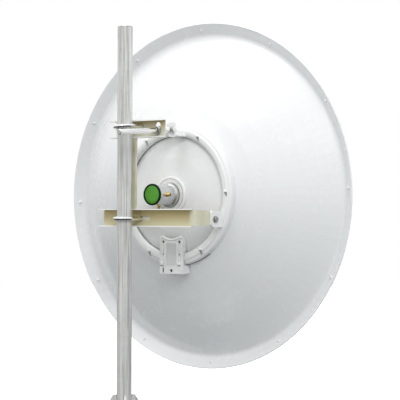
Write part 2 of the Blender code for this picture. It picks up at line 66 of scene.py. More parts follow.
class Paint:
    """A node material with object coordinates and a Principled shader."""

    def __init__(self, name):
        self.mat = bpy.data.materials.new(name)
        self.mat.use_nodes = True
        self.tree = self.mat.node_tree
        self.shader = self.tree.nodes["Principled BSDF"]
        coords = self.tree.nodes.new("ShaderNodeTexCoord")
        self.place = coords.outputs["Object"]

    def put(self, **values):
        for key, value in values.items():
            self.shader.inputs[key.replace("_", " ")].default_value = value
        return self

    def node(self, kind, **inputs):
        made = self.tree.nodes.new(kind)
        for key, value in inputs.items():
            socket = made.inputs[key.replace("_", " ")]
            if isinstance(value, bpy.types.NodeSocket):
                self.tree.links.new(value, socket)
            else:
                socket.default_value = value
        return made

    def link(self, output, key):
        self.tree.links.new(output, self.shader.inputs[key])

    def stretched(self, scale):
        return self.node("ShaderNodeMapping", Vector=self.place, Scale=scale).outputs["Vector"]

    def noise(self, scale, detail=4.0, rough=0.55, vector=None):
        return self.node("ShaderNodeTexNoise", Vector=vector or self.place, Scale=scale, Detail=detail,
                         Roughness=rough).outputs["Fac"]

    def ramp(self, factor, stops):
        made = self.node("ShaderNodeValToRGB", Fac=factor)
        band = made.color_ramp
        while len(band.elements) > 2:
            band.elements.remove(band.elements[-1])
        while len(band.elements) < len(stops):
            band.elements.new(0.5)
        for element, (at, colour) in zip(band.elements, stops):
            element.position = at
            value = colour if isinstance(colour, tuple) else (colour,) * 3
            element.color = (*value, 1.0)
        return made.outputs["Color"]

    def mix(self, factor, a, b, mode="MIX"):
        made = self.tree.nodes.new("ShaderNodeMix")
        made.data_type = "RGBA"
        made.blend_type = mode
        for index, value in ((0, factor), (6, a), (7, b)):
            socket = made.inputs[index]
            if isinstance(value, bpy.types.NodeSocket):
                self.tree.links.new(value, socket)
            elif isinstance(value, tuple):
                socket.default_value = (*value, 1.0)
            else:
                socket.default_value = value
        return made.outputs[2]

    def bump(self, height, strength, distance):
        made = self.node("ShaderNodeBump", Height=height, Strength=strength, Distance=distance)
        self.link(made.outputs["Normal"], "Normal")

    def edges(self, low=0.47, high=0.56):
        """Where the surface is convex, for painted highlights along edges."""
        geometry = self.tree.nodes.new("ShaderNodeNewGeometry")
        return self.ramp(geometry.outputs["Pointiness"], [(low, 0.0), (high, 1.0)])


def powder_coat(name, tint, rough=0.24, peel=0.05, coat=0.35):
    p = Paint(name).put(Coat_Weight=coat, Coat_Roughness=0.12, IOR=1.5)
    cloud = p.ramp(p.noise(5.0, 5.0), [(0.35, tuple(c * 0.985 for c in tint)), (0.65, tint)])
    dust = p.ramp(p.noise(60.0, 6.0, 0.7), [(0.55, 0.0), (0.85, 0.10)])
    p.link(p.mix(dust, cloud, tuple(c * 0.80 for c in tint)), "Base Color")
    p.link(p.ramp(p.noise(14.0, 4.0), [(0.3, rough - 0.03), (0.7, rough + 0.06)]), "Roughness")
    p.bump(p.noise(420.0, 2.0, 0.4), peel, 0.0004)
    return p.mat


def galvanised(name, streaks=True, dark=(0.47, 0.475, 0.46), pale=(0.74, 0.745, 0.73)):
    p = Paint(name).put(Metallic=0.35)
    along = p.stretched((260.0, 260.0, 5.0)) if streaks else p.stretched((60.0, 60.0, 60.0))
    grain = p.noise(1.0, 5.0, 0.6, along)
    cells = p.node("ShaderNodeTexVoronoi", Vector=p.place, Scale=75.0).outputs["Color"]
    spangle = p.ramp(cells, [(0.2, 0.86), (0.8, 1.0)])
    base = p.ramp(grain, [(0.36, dark), (0.52, pale), (0.66, tuple(min(1.0, c * 1.18) for c in pale))])
    worn = p.mix(0.35, base, spangle, "MULTIPLY")
    cloud = p.ramp(p.noise(9.0, 4.0), [(0.35, 0.93), (0.65, 1.0)])
    p.link(p.mix(1.0, worn, cloud, "MULTIPLY"), "Base Color")
    p.link(p.ramp(grain, [(0.35, 0.46), (0.65, 0.30)]), "Roughness")
    p.bump(grain, 0.25, 0.0006)
    return p.mat


def passivated(name, shade=None):
    """Zinc plate with a cream passivation that drifts in tone; shade gives the heights (row Z)
    between which a channel's web turns from a painted tan shadow under its lip to cream."""
    p = Paint(name).put(Metallic=0.08, IOR=1.38)
    drift = p.noise(18.0, 4.0, 0.5)
    tone = p.ramp(drift, [(0.32, (0.64, 0.61, 0.44)), (0.50, (0.69, 0.67, 0.52)), (0.68, (0.74, 0.72, 0.60))])
    if shade:
        split = p.node("ShaderNodeSeparateXYZ", Vector=p.place)
        level = p.node("ShaderNodeMapRange", Value=split.outputs["Z"])
        level.inputs["From Min"].default_value, level.inputs["From Max"].default_value = shade[:2]
        streaky = p.mix(0.16, level.outputs["Result"], p.noise(1.0, 4.0, 0.6, p.stretched((40.0, 40.0, 9.0))))
        # Painted shadow of the upper lip: tan on the web just below it, turning cream lower down.
        web_lip_shadow = p.ramp(streaky, [(0.08, shade[3]), (0.50, shade[4]), (0.90, shade[2])])
        near = p.node("ShaderNodeMapRange", Value=split.outputs["Y"])
        for key, value in (("From Min", AXIS.y + FOLD_Y), ("From Max", AXIS.y + WEB_Y - 0.006)):
            near.inputs[key].default_value = value
        span = p.node("ShaderNodeMapRange", Value=split.outputs["X"])
        for key, value in (("From Min", AXIS.x + shade[5]), ("From Max", AXIS.x + shade[5] + 0.008),
                           ("To Min", 1.0), ("To Max", 0.0)):
            span.inputs[key].default_value = value
        lip_shadow_area = p.node("ShaderNodeMath", Value=near.outputs["Result"])
        lip_shadow_area.operation = "MULTIPLY"
        p.tree.links.new(span.outputs["Result"], lip_shadow_area.inputs[1])
        tone = p.mix(lip_shadow_area.outputs["Value"], tone, web_lip_shadow)
        # Painted highlight: near-white along the lips' rear edges by the fold.
        rim = p.node("ShaderNodeMapRange", Value=split.outputs["Y"])
        for key, value in (("From Min", AXIS.y + FOLD_Y + 0.0010), ("From Max", AXIS.y + FOLD_Y + 0.0028),
                           ("To Min", 1.0), ("To Max", 0.0)):
            rim.inputs[key].default_value = value
        tone = p.mix(rim.outputs["Result"], tone, (0.96, 0.95, 0.92))
    bloom = p.ramp(p.noise(70.0, 5.0, 0.65), [(0.45, 0.0), (0.75, 0.18)])
    p.link(p.mix(bloom, tone, (0.58, 0.56, 0.36)), "Base Color")
    p.link(p.ramp(p.noise(45.0, 4.0), [(0.35, 0.34), (0.65, 0.48)]), "Roughness")
    p.bump(p.noise(300.0, 3.0), 0.08, 0.0004)
    return p.mat


def metal(name, colour, rough, fine=220.0, metallic=1.0, edge_highlight=1.25, turned=None, bump=0.08):
    p = Paint(name).put(Metallic=metallic)
    vector = p.stretched(turned) if turned else p.place
    grain = p.noise(1.0 if turned else fine, 4.0, 0.6, vector)
    base = p.ramp(grain, [(0.35, tuple(c * 0.84 for c in colour)), (0.65, colour)])
    # Painted highlight: convex edges are lightened by this factor.
    worn = tuple(min(0.95, c * edge_highlight) for c in colour)
    p.link(p.mix(p.edges(0.50, 0.60), base, worn), "Base Color")
    p.link(p.ramp(grain, [(0.3, max(0.06, rough - 0.07)), (0.7, rough + 0.08)]), "Roughness")
    p.bump(grain, bump, 0.0003)
    return p.mat


def plastic(name, colour, rough=0.4, fine=500.0, ior=1.48):
    p = Paint(name).put(IOR=ior)
    cloud = p.ramp(p.noise(30.0, 4.0), [(0.35, tuple(c * 0.90 for c in colour)), (0.65, colour)])
    p.link(cloud, "Base Color")
    p.link(p.ramp(p.noise(90.0, 3.0), [(0.3, rough - 0.05), (0.7, rough + 0.07)]), "Roughness")
    p.bump(p.noise(fine, 2.0), 0.06, 0.0003)
    return p.mat


WHITE = (0.83, 0.84, 0.845)
FINISH = {
    "shell": powder_coat("dish_white", WHITE),
    "cast": powder_coat("cast_white", (0.86, 0.865, 0.865), 0.34, 0.16, 0.2),
    "pole": galvanised("pole_galvanised"),
    "plate": galvanised("foot_galvanised", False),
    "passivated": passivated("bracket_passivated"),
    # Both channels: a painted tan shadow on the web under the upper lip, and a painted highlight on the lips' rear
    # edges.
    "channel_low": passivated("channel_low_passivated_lip_shade", (0.6325, 0.5890, (0.66, 0.63, 0.44), (0.56, 0.46, 0.22),
                                                         (0.53, 0.45, 0.24), 0.150)),
    "channel_up": passivated("channel_up_passivated_lip_shade", (0.8905, 0.8560, (0.76, 0.76, 0.66), (0.56, 0.46, 0.26),
                                                       (0.60, 0.54, 0.36), 0.200)),
    "zinc": metal("zinc_bright", (0.86, 0.87, 0.87), 0.22),
    "nut": metal("zinc_dull", (0.42, 0.43, 0.42), 0.30),
    "dark": metal("steel_dark", (0.21, 0.215, 0.19), 0.34),
    "rod": metal("rod_steel", (0.80, 0.80, 0.775), 0.20, bump=0.03),
    "can": metal("can_aluminium", (0.70, 0.71, 0.71), 0.30, turned=(30.0, 900.0, 30.0)),
    "pipe": metal("pipe_aluminium", (0.66, 0.67, 0.68), 0.24, turned=(900.0, 30.0, 900.0)),
    "green": plastic("cap_green", (0.095, 0.36, 0.035), 0.36),
    # Darkened copy of the cap's green for its rim: painted shade.
    "green_dark": plastic("cap_rim_green_shaded", (0.003, 0.022, 0.008), 0.55, ior=1.2),
    "gold": metal("connector_gold", (0.80, 0.60, 0.24), 0.20),
    "splash": plastic("splash_plastic", (0.74, 0.74, 0.71), 0.45),
    # A whiter copy of the cast white for beads, rails and nibs: painted highlight on their raised edges.
    "light": powder_coat("rib_white_highlight", (0.93, 0.935, 0.935), 0.30, 0.05, 0.4),
    "screw": metal("rim_screw", (0.93, 0.93, 0.92), 0.32, metallic=0.25),
    "groove": plastic("groove_shadow", (0.30, 0.31, 0.315), 0.7),
    "panel": plastic("panel_white", (0.77, 0.775, 0.775), 0.5),
    "dark_gap": plastic("socket_shadow", (0.03, 0.03, 0.03), 0.6),
}

for name, key in {
    "foot_plate": "plate", "pole": "pole", "pole_cap": "plate", "gusset_1": "plate", "gusset_2": "plate",
    "gusset_3": "plate", "gusset_4": "plate", "lower_bracket": "channel_low", "upper_bracket": "channel_up",
    "spine_bar": "passivated", "u_bolt_lower": "zinc", "u_bolt_upper": "zinc", "u_nut_lower_left": "zinc",
    "u_nut_lower_right": "zinc", "u_nut_upper_left": "zinc", "u_nut_upper_right": "zinc",
    "web_nut_rear": "nut", "web_nut_front": "nut", "pivot_bolt_left": "dark", "pivot_bolt_right": "dark",
    "elevation_rod": "rod", "lug_bolt": "dark", "strap_lower": "passivated", "strap_upper": "passivated",
    "reflector": "shell",
    "mounting_ring": "cast", "feed_flange": "cast", "radio_plate": "cast", "feed_can": "can",
    "feed_pipe": "pipe", "feed_cap": "green", "connector_side": "gold", "connector_under": "gold",
    "feed_head": "splash",
}.items():
    node = nodes[name]
    node.data.materials.clear()
    node.data.materials.append(FINISH[key])


# Building blocks for the added pieces


def piece(name, bm, body, key, replaced=(), sharp=35.0, shaded_side_key=None):
    """Put a mesh on a body with its finish; faces of material index 1 take the side finish, a darker one that paints
    shade.
    """
    bmesh.ops.recalc_face_normals(bm, faces=bm.faces)
    mesh = bpy.data.meshes.new(name)
    bm.to_mesh(mesh)
    bm.free()
    mesh.shade_smooth()
    mesh.set_sharp_from_angle(angle=math.radians(sharp))
    mesh.materials.append(FINISH[key])
    if shaded_side_key:
        mesh.materials.append(FINISH[shaded_side_key])
    obj = bpy.data.objects.new(name, mesh)
    bpy.context.scene.collection.objects.link(obj)
    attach(obj, body)
    if replaced:
        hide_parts(*replaced)
    return obj


def lathe(bm, profile, at, along, steps=40, arc=(0.0, 360.0)):
    """Turn (distance, radius) pairs about the line through at; arc limits give an open band."""
    along = Vector(along).normalized()
    up = Vector((0.0, 0.0, 1.0)) if abs(along.z) < 0.9 else Vector((0.0, 1.0, 0.0))
    up = (up - along * up.dot(along)).normalized()
    side = up.cross(along)
    whole = arc[1] - arc[0] >= 360.0
    count = steps if whole else steps + 1
    rings = []
    for far, radius in profile:
        if radius < 1e-6:
            rings.append([bm.verts.new(at + along * far)])
            continue
        ring = []
        for k in range(count):
            a = math.radians(arc[0] + (arc[1] - arc[0]) * k / steps)
            ring.append(bm.verts.new(at + along * far + (up * math.cos(a) + side * math.sin(a)) * radius))
        rings.append(ring)
    for one, two in zip(rings, rings[1:]):
        for k in range(steps):
            m = (k + 1) % count
            loop = [one[k % len(one)], one[m % len(one)], two[m % len(two)], two[k % len(two)]]
            corners = [v for i, v in enumerate(loop) if v not in loop[:i]]
            if len(corners) > 2:
                bm.faces.new(corners)


def slab(bm, outline, near, far, soft=0.0008, frame_of=None):
    """Plate with its outline in X and Z of the dish, from depth near to far, its far rim rounded."""
    place = frame_of or (lambda u, v, w: dish(u, w, v))
    low = [bm.verts.new(place(u, v, near)) for u, v in outline]
    high = [bm.verts.new(place(u, v, far)) for u, v in outline]
    bm.faces.new(low)
    bm.faces.new(high[::-1])
    for k in range(len(outline)):
        m = (k + 1) % len(outline)
        bm.faces.new((low[k], low[m], high[m], high[k]))
    if soft:
        rim = [e for v in high for e in v.link_edges if e.other_vert(v) in high]
        bmesh.ops.bevel(bm, geom=list(set(rim)), offset=soft, segments=3, profile=0.5, affect="EDGES")


def oblong(u, v, width, height, corner=0.0015, turn=0.0):
    """Outline of a rectangle with rounded corners about a centre."""
    points = []
    for sx, sy, first in ((1, 1, 0), (-1, 1, 90), (-1, -1, 180), (1, -1, 270)):
        for k in range(4):
            a = math.radians(first + k * 30)
            points.append((sx * (width / 2 - corner) + corner * math.cos(a),
                           sy * (height / 2 - corner) + corner * math.sin(a)))
    c, d = math.cos(turn), math.sin(turn)
    return [(u + x * c - y * d, v + x * d + y * c) for x, y in points]


def tube(bm, points, radius, steps=12):
    """Round bead along points, with domed ends."""
    points = [Vector(p) for p in points]
    rings = []
    for k, point in enumerate(points):
        ahead = (points[min(k + 1, len(points) - 1)] - points[max(k - 1, 0)]).normalized()
        side = ahead.cross(Vector((0.0, 1.0, 0.0) if abs(ahead.y) < 0.9 else (1.0, 0.0, 0.0))).normalized()
        up = side.cross(ahead)
        rings.append([bm.verts.new(point + (side * math.cos(a) + up * math.sin(a)) * radius)
                      for a in (2 * math.pi * i / steps for i in range(steps))])
    for one, two in zip(rings, rings[1:]):
        for k in range(steps):
            m = (k + 1) % steps
            bm.faces.new((one[k], one[m], two[m], two[k]))
    for ring, point, other in ((rings[0], points[0], points[1]), (rings[-1], points[-1], points[-2])):
        tip = bm.verts.new(point + (point - other).normalized() * radius * 0.7)
        for k in range(steps):
            bm.faces.new((ring[k], ring[(k + 1) % steps], tip))


def bolt_head(bm, at, along, across, height, washer=0.0, chamfer=0.0010):
    """Hexagon head, with a washer under it when washer is its radius."""
    along = Vector(along).normalized()
    if washer:
        lathe(bm, [(0.0, 0.0), (0.0, washer), (0.0011, washer), (0.0014, washer - 0.0003), (0.0014, 0.0)],
              at, along, 32)
    base = 0.0014 if washer else 0.0
    r = across / math.sqrt(3.0)
    lathe(bm, [(base, 0.0), (base, r), (height - chamfer, r), (height, r - chamfer * 1.7), (height, r * 0.45),
               (height - 0.0006, r * 0.40), (height - 0.0006, 0.0)], at, along, 6)


def mark_shaded_sides(bm, along):
    """Give material index 1 to the faces that stand along the given direction, so a darker finish paints shade on a
    head's sides.
    """
    bm.normal_update()
    for face in bm.faces:
        if abs(face.normal.dot(Vector(along).normalized())) < 0.35:
            face.material_index = 1


def pan_head(bm, at, along, radius, height, washer=0.0):
    along = Vector(along).normalized()
    lift = 0.0
    if washer:
        lathe(bm, [(-0.0004, 0.0), (-0.0004, washer), (0.0008, washer), (0.0011, washer - 0.0004),
                   (0.0011, 0.0)], at, along, 24)
        lift = 0.0009
    dome = [(math.sin(a) * height, math.cos(a) ** 0.7 * radius) for a in
            (math.radians(k * 12.5) for k in range(6))]
    lathe(bm, [(-0.0004, 0.0), (-0.0004, radius)] + [(lift + h, r) for h, r in dome]
          + [(lift + height, radius * 0.34), (lift + height * 0.55, radius * 0.22), (lift + height * 0.5, 0.0)],
          at, along, 20)


def ridges(first, last, low, high, pitch=0.0016):
    """Profile of a screw thread between two distances."""
    count = max(1, int(abs(last - first) / pitch))
    step = (last - first) / count
    profile = []
    for k in range(count):
        profile += [(first + step * k, low), (first + step * (k + 0.35), high), (first + step * (k + 0.55), high)]
    return profile + [(last, low)]


def around(degrees, radius, y):
    """Point at an angle from straight up, clockwise as seen by the dish's back."""
    a = math.radians(degrees)
    return dish(radius * math.sin(a), y, radius * math.cos(a))


def outward(degrees):
    a = math.radians(degrees)
    return Vector((math.sin(a), 0.0, math.cos(a)))


def bowl_y(radius):
    return VERTEX_Y + radius * radius / FOUR_F


# Rim: screws on the turned lip, small rivets halfway and the rolled edge
lip_drop = (BOWL_EDGE_Y - RIM_Y) / (RIM_R - BOWL_R)
bm, rivets, slots_bm = bmesh.new(), bmesh.new(), bmesh.new()
for k in range(24):
    angle = k * 15.0 - 2.11
    inward = Vector((0.0, -1.0, 0.0)) - outward(angle) * lip_drop
    at = around(angle, SCREW_R, BOWL_EDGE_Y - (SCREW_R - BOWL_R) * lip_drop)
    if k % 2 == 0:
        pan_head(bm, at, inward, 0.0048, 0.0034, 0.0066)
        at = around(angle + 1.1, SCREW_R + 0.0105, BOWL_EDGE_Y - (SCREW_R + 0.0105 - BOWL_R) * lip_drop)
        # Grey disc beside every other screw: painted shade in a small slot.
        lathe(slots_bm, [(-0.0004, 0.0), (-0.0004, 0.0022), (0.0004, 0.0020), (0.0004, 0.0)], at, inward, 14)
    else:
        pan_head(rivets, at, inward, 0.0030, 0.0012)
piece("rim_screws", bm, "dish", "screw")
piece("rim_rivets", rivets, "dish", "shell")
piece("rim_slots", slots_bm, "dish", "groove")
bm = bmesh.new()
lathe(bm, [(RIM_Y + 0.0012 + 0.0012 * math.sin(a), RIM_R - 0.0006 + 0.0014 * math.cos(a))
           for a in (math.radians(k * 36) for k in range(11))], dish(0, 0, 0), (0, 1, 0), 160)
piece("rim_hem", bm, "dish", "shell")

# Ring: painted contact shadows beside it, cast nibs and their painted shadows on its crest
bm = bmesh.new()
# Grey bands at the ring's inner wall and, on the lower side, its outer wall: painted contact shadow.
lathe(bm, [(bowl_y(0.1738) - 0.0004, 0.1736), (-0.1500, RING_IN - 0.0003), (-0.1536, RING_IN - 0.0002),
           (-0.1536, RING_IN + 0.0004)], dish(0, 0, 0), (0, 1, 0), 160)
lathe(bm, [(bowl_y(0.2112) - 0.0005, 0.2112), (-0.1404, RING_OUT + 0.0003), (-0.1440, RING_OUT + 0.0002),
           (-0.1440, RING_OUT - 0.0004)], dish(0, 0, 0), (0, 1, 0), 110, (78.0, 215.0))
piece("ring_contact_shadow", bm, "dish", "groove")
bm, nib_shadows = bmesh.new(), bmesh.new()
for k in range(6):
    angle = 27.9 + 60.0 * k
    out_dir, spot = outward(angle), around(angle, 0.1915, CREST_Y)
    u0, v0 = (spot - AXIS).x, (spot - AXIS).z
    slab(bm, oblong(u0, v0 + 0.0030, 0.0100, 0.0056, 0.0022), CREST_Y + 0.0015, CREST_Y - 0.0034, 0.0014)
    # Grey patch below each nib: its painted shadow.
    slab(nib_shadows, [(u0 - 0.0042, v0 - 0.0002), (u0 + 0.0050, v0 - 0.0002), (u0 + 0.0052, v0 - 0.0050),
                   (u0 + 0.0046, v0 - 0.0125), (u0 + 0.0030, v0 - 0.0118)], CREST_Y + 0.0030, CREST_Y - 0.0004, 0.0)
piece("ring_nibs", bm, "dish", "light")
piece("ring_nib_shadows", nib_shadows, "dish", "groove")

# Radio plate: rolled top edge, panel frame, rails, bosses, slots
face = -0.172
bm = bmesh.new()
crown = [(-0.0395, -0.1330), (-0.0390, -0.1285), (-0.0350, -0.1255), (-0.0290, -0.1262), (-0.0220, -0.1290),
         (-0.0120, -0.1322), (0.0, -0.1335), (0.0120, -0.1322), (0.0220, -0.1290), (0.0290, -0.1262),
         (0.0350, -0.1252), (0.0400, -0.1262)]
tube(bm, [dish(x, face + 0.0002, z) for x, z in crown], 0.0028, 14)
for x in (-0.0215, 0.0225):
    slab(bm, oblong(x, -0.1750, 0.0048, 0.0720), face, face - 0.0016, 0.0007)
slab(bm, oblong(0.0005, -0.1405, 0.0440, 0.0040), face, face - 0.0015, 0.0007)
for x in (-0.0345, 0.0305):
    slab(bm, oblong(x, -0.2030, 0.0105, 0.0095, 0.0025), face, face - 0.0045, 0.0016)
slab(bm, oblong(-0.0317, -0.1625, 0.0036, 0.0140), face, face - 0.0022, 0.0009)
slab(bm, oblong(0.0300, -0.1585, 0.0040, 0.0150), face, face - 0.0020, 0.0009)
slab(bm, oblong(0.0300, -0.1900, 0.0040, 0.0120), face, face - 0.0020, 0.0009)
slab(bm, oblong(-0.0300, -0.1900, 0.0036, 0.0110), face, face - 0.0018, 0.0009)
slab(bm, oblong(0.0395, -0.1790, 0.0045, 0.0900), face, face - 0.0030, 0.0014)
piece("radio_ribs", bm, "dish", "light")
bm = bmesh.new()
slab(bm, oblong(0.0005, -0.1770, 0.0350, 0.0640), face, face - 0.0003, 0.0)
piece("radio_panel", bm, "dish", "panel")
bm = bmesh.new()
# Grey strips just below the bosses: painted shade.
slab(bm, oblong(-0.0350, -0.2103, 0.0150, 0.0026, 0.0010), face, face - 0.0003, 0.0)
slab(bm, oblong(0.0310, -0.2098, 0.0120, 0.0022, 0.0009), face, face - 0.0003, 0.0)
piece("radio_shade_lines", bm, "dish", "groove")
bm = bmesh.new()
# Black strip and discs in the plate's slot and holes: painted shade in them.
slab(bm, oblong(-0.0296, -0.2228, 0.0034, 0.0150, 0.0016), face, face - 0.0004, 0.0)
for x, z, r in ((-0.030, -0.139, 0.0040), (0.030, -0.139, 0.0040), (-0.030, -0.176, 0.0026),
                (0.030, -0.176, 0.0026), (0.0, -0.224, 0.0048)):
    lathe(bm, [(0.0, 0.0), (0.0, r), (0.0006, r), (0.0006, 0.0)], dish(x, face + 0.0040, z), (0, -1, 0), 20)
piece("radio_slots", bm, "dish", "dark_gap")

# Feed unit: can with its flange, cap, screws and connectors
bm = bmesh.new()
lathe(bm, [(-0.1788, 0.0), (-0.1788, 0.0325), (-0.1800, 0.0345), (-0.1835, 0.0358), (-0.1842, 0.0362),
           (-0.1885, 0.0362), (-0.1893, 0.0357), (-0.1897, 0.0338), (-0.1912, 0.0318), (-0.1945, 0.0305),
           (-0.1990, 0.0300), (-0.2180, 0.0300), (-0.2183, 0.0297), (-0.2189, 0.0297), (-0.2192, 0.0300),
           (-0.2500, 0.0300), (-0.2503, 0.0297), (-0.2509, 0.0297), (-0.2512, 0.0300), (-0.2585, 0.0300),
           (-0.2594, 0.0296), (-0.2597, 0.0288), (-0.2597, 0.0)], dish(0, 0, 0), (0, 1, 0), 72)
piece("can_shell", bm, "dish", "can", ("feed_can",))
bm = bmesh.new()
lathe(bm, [(-0.1787, 0.0300), (-0.1787, 0.0370), (-0.1797, 0.0370), (-0.1797, 0.0300)], dish(0, 0, 0), (0, 1, 0), 72)
piece("can_gasket", bm, "dish", "groove")
bm = bmesh.new()
# The cap's rim takes the darkened green: painted shade.
lathe(bm, [(-0.2600, 0.0), (-0.2600, 0.0308), (-0.2608, 0.0316), (-0.2645, 0.0316), (-0.2658, 0.0310),
           (-0.2662, 0.0300), (-0.2662, 0.0272), (-0.2655, 0.0268), (-0.2646, 0.0266), (-0.2644, 0.0)],
      dish(0, 0, 0), (0, 1, 0), 72)
piece("cap_rim", bm, "dish", "green_dark", ("feed_cap",))
bm = bmesh.new()
lathe(bm, [(-0.2645, 0.0266), (-0.2648, 0.0262), (-0.2652, 0.0180), (-0.2655, 0.0)], dish(0, 0, 0), (0, 1, 0), 72)
piece("cap_face", bm, "dish", "green")
bm = bmesh.new()
for k in range(8):
    pan_head(bm, around(35.0 + 45.0 * k, 0.0440, -0.1785), (0, -1, 0), 0.0028, 0.0018)
piece("flange_screws", bm, "dish", "screw")
bm = bmesh.new()
# Grey ring on the flange face: painted shade in a groove.
lathe(bm, [(-0.1785, 0.0478), (-0.1791, 0.0478), (-0.1791, 0.0486), (-0.1785, 0.0486)], dish(0, 0, 0), (0, 1, 0), 72)
piece("flange_groove", bm, "dish", "groove")

for name, along, r, tip in (("side", (1, 0, 0), 0.0072, 0.0418), ("under", (0, 0, -1), 0.0056, 0.0455)):
    start = 0.0303
    bm = bmesh.new()
    lathe(bm, [(start - 0.0010, 0.0), (start - 0.0010, r), (start + 0.0014, r), (start + 0.0018, r - 0.0004),
               (start + 0.0018, r * 0.74)] + ridges(start + 0.0024, tip - 0.0006, r * 0.70, r * 0.76, 0.0012)
          + [(tip, r * 0.66), (tip, r * 0.54), (tip - 0.0050, r * 0.52), (tip - 0.0050, 0.0)],
          dish(0, CONN_Y, 0), along, 32)
    lathe(bm, [(tip - 0.0050, 0.0009), (tip - 0.0012, 0.0009), (tip - 0.0006, 0.0)], dish(0, CONN_Y, 0), along, 12)
    piece("port_" + name, bm, "dish", "gold", ("connector_" + name,))
    bm = bmesh.new()
    # Black ring deep in the port: painted shade in its bore.
    lathe(bm, [(tip - 0.0046, 0.0012), (tip - 0.0046, r * 0.52)], dish(0, CONN_Y, 0), along, 24)
    piece("port_bore_shade_" + name, bm, "dish", "dark_gap")

# Feed in front: rings on the pipe and the stepped splash head
head = -FOCUS_Y + 0.030 - 0.0003
bm = bmesh.new()
lathe(bm, [(-head, 0.0), (-head, 0.0125), (-head + 0.0040, 0.0150), (-head + 0.0120, 0.0200),
           (-head + 0.0150, 0.0196), (-head + 0.0160, 0.0240), (-head + 0.0220, 0.0300), (-head + 0.0240, 0.0296),
           (-head + 0.0250, 0.0340), (-head + 0.0300, 0.0400), (-head + 0.0340, 0.0418), (-head + 0.0350, 0.0420),
           (-head + 0.0410, 0.0420), (-head + 0.0432, 0.0414), (-head + 0.0440, 0.0395), (-head + 0.0440, 0.0330),
           (-head + 0.0430, 0.0322), (-head + 0.0430, 0.0)], dish(0, 0, 0), (0, 1, 0), 72)
piece("splash_head", bm, "dish", "splash", ("feed_head",))
bm = bmesh.new()
for y, r, wide in ((bowl_y(0.02) + 0.0030, 0.0230, 0.0030), (bowl_y(0.02) + 0.0060, 0.0185, 0.0040),
                   (0.060, 0.0142, 0.0025), (0.110, 0.0142, 0.0060)):
    lathe(bm, [(y, 0.0134), (y, r - 0.0004), (y + 0.0004, r), (y + wide - 0.0004, r), (y + wide, r - 0.0004),
               (y + wide, 0.0134)], dish(0, 0, 0), (0, 1, 0), 48)
piece("pipe_collars", bm, "dish", "pipe")

# Pivot bolts with washers and bosses on the ring's side cheeks
for side, word in ((-1, "left"), (1, "right")):
    out = LUG_IN + LUG_T
    at = dish(side * out, *PIVOT)
    bm = bmesh.new()
    lathe(bm, [(0.0001, 0.0), (0.0001, 0.0108), (0.0006, 0.0106), (0.0008, 0.0100), (0.0008, 0.0)], at,
          (side, 0, 0), 40)
    piece("pivot_boss_" + word, bm, "dish", "cast")
    bm = bmesh.new()
    bolt_head(bm, at + Vector((side * 0.0006, 0, 0)), (side, 0, 0), 0.0165, 0.0070, 0.0094)
    lathe(bm, [(0.0, 0.0), (0.0, 0.0060), (-0.0280, 0.0060), (-0.0290, 0.0050), (-0.0290, 0.0)], at, (side, 0, 0), 28)
    bolt_head(bm, dish(side * (ARM_OUT - BRACKET_T - 0.0003), *PIVOT), (-side, 0, 0), 0.0168, 0.0100, 0.0100)
    # The heads' sides take the dark finish: painted shade.
    mark_shaded_sides(bm, (1, 0, 0))
    piece("pivot_set_" + word, bm, "mount", "nut", ("pivot_bolt_" + word,), shaded_side_key="dark")

# Bolt through the rod's eye
bm = bmesh.new()
at = dish(0.0386, *TOP_PIVOT)
bolt_head(bm, at, (1, 0, 0), 0.0168, 0.0070, 0.0096)
bolt_head(bm, dish(0.0247, *TOP_PIVOT), (-1, 0, 0), 0.0168, 0.0075, 0.0096)
lathe(bm, [(0.0, 0.0), (0.0, 0.0050), (-0.0270, 0.0050), (-0.0276, 0.0044), (-0.0276, 0.0)], at, (1, 0, 0), 24)
# The sides take the dull finish: painted shade.
mark_shaded_sides(bm, (1, 0, 0))
piece("eye_bolt", bm, "dish", "zinc", ("lug_bolt",), shaded_side_key="nut")

# Threaded tips of the pole clamps
bm = bmesh.new()
for z, lean in U_HEIGHTS.values():
    for side in (-1, 1):
        at = dish(POLE_X + side * U_LEG * math.cos(lean), 0.0, z - side * U_LEG * math.sin(lean))
        lathe(bm, ridges(-0.2696, U_TIP_Y + 0.0010, U_R, U_R + 0.0003, 0.0015)
              + [(U_TIP_Y + 0.0004, U_R - 0.0008), (U_TIP_Y + 0.0004, 0.0)], at, (0, 1, 0), 28)
piece("clamp_threads", bm, "mount", "zinc")

# Weld between the pole and its foot plate
bm = bmesh.new()
ripple = [PLATE_T, POLE_R + 0.0048], [PLATE_T + 0.0018, POLE_R + 0.0038], [PLATE_T + 0.0036, POLE_R + 0.0018], \
    [PLATE_T + 0.0046, POLE_R + 0.0002]
lathe(bm, ripple, Vector((0, 0, 0)), (0, 0, 1), 96)
for v in bm.verts:
    flat = Vector((v.co.x, v.co.y, 0.0))
    v.co += flat.normalized() * 0.0003 * math.sin(40 * math.atan2(v.co.y, v.co.x))
piece("foot_weld", bm, "mast", "plate")

# Softened edges of the sheet and cast parts
for name, width in {"lower_bracket": 0.0008, "upper_bracket": 0.0008, "spine_bar": 0.0009, "strap_lower": 0.0006,
                    "strap_upper": 0.0006, "radio_plate": 0.0011, "web_nut_rear": 0.0007, "web_nut_front": 0.0007,
                    "u_nut_lower_left": 0.0005, "u_nut_lower_right": 0.0005, "u_nut_upper_left": 0.0005,
                    "u_nut_upper_right": 0.0005, "mounting_ring": 0.0006, "foot_plate": 0.0010}.items():
    soft = nodes[name].modifiers.new("soft_edges", "BEVEL")
    soft.width = width
    soft.segments = 2
    soft.limit_method = "ANGLE"
    soft.angle_limit = math.radians(40.0)
    soft.harden_normals = False


# Stage, light and camera


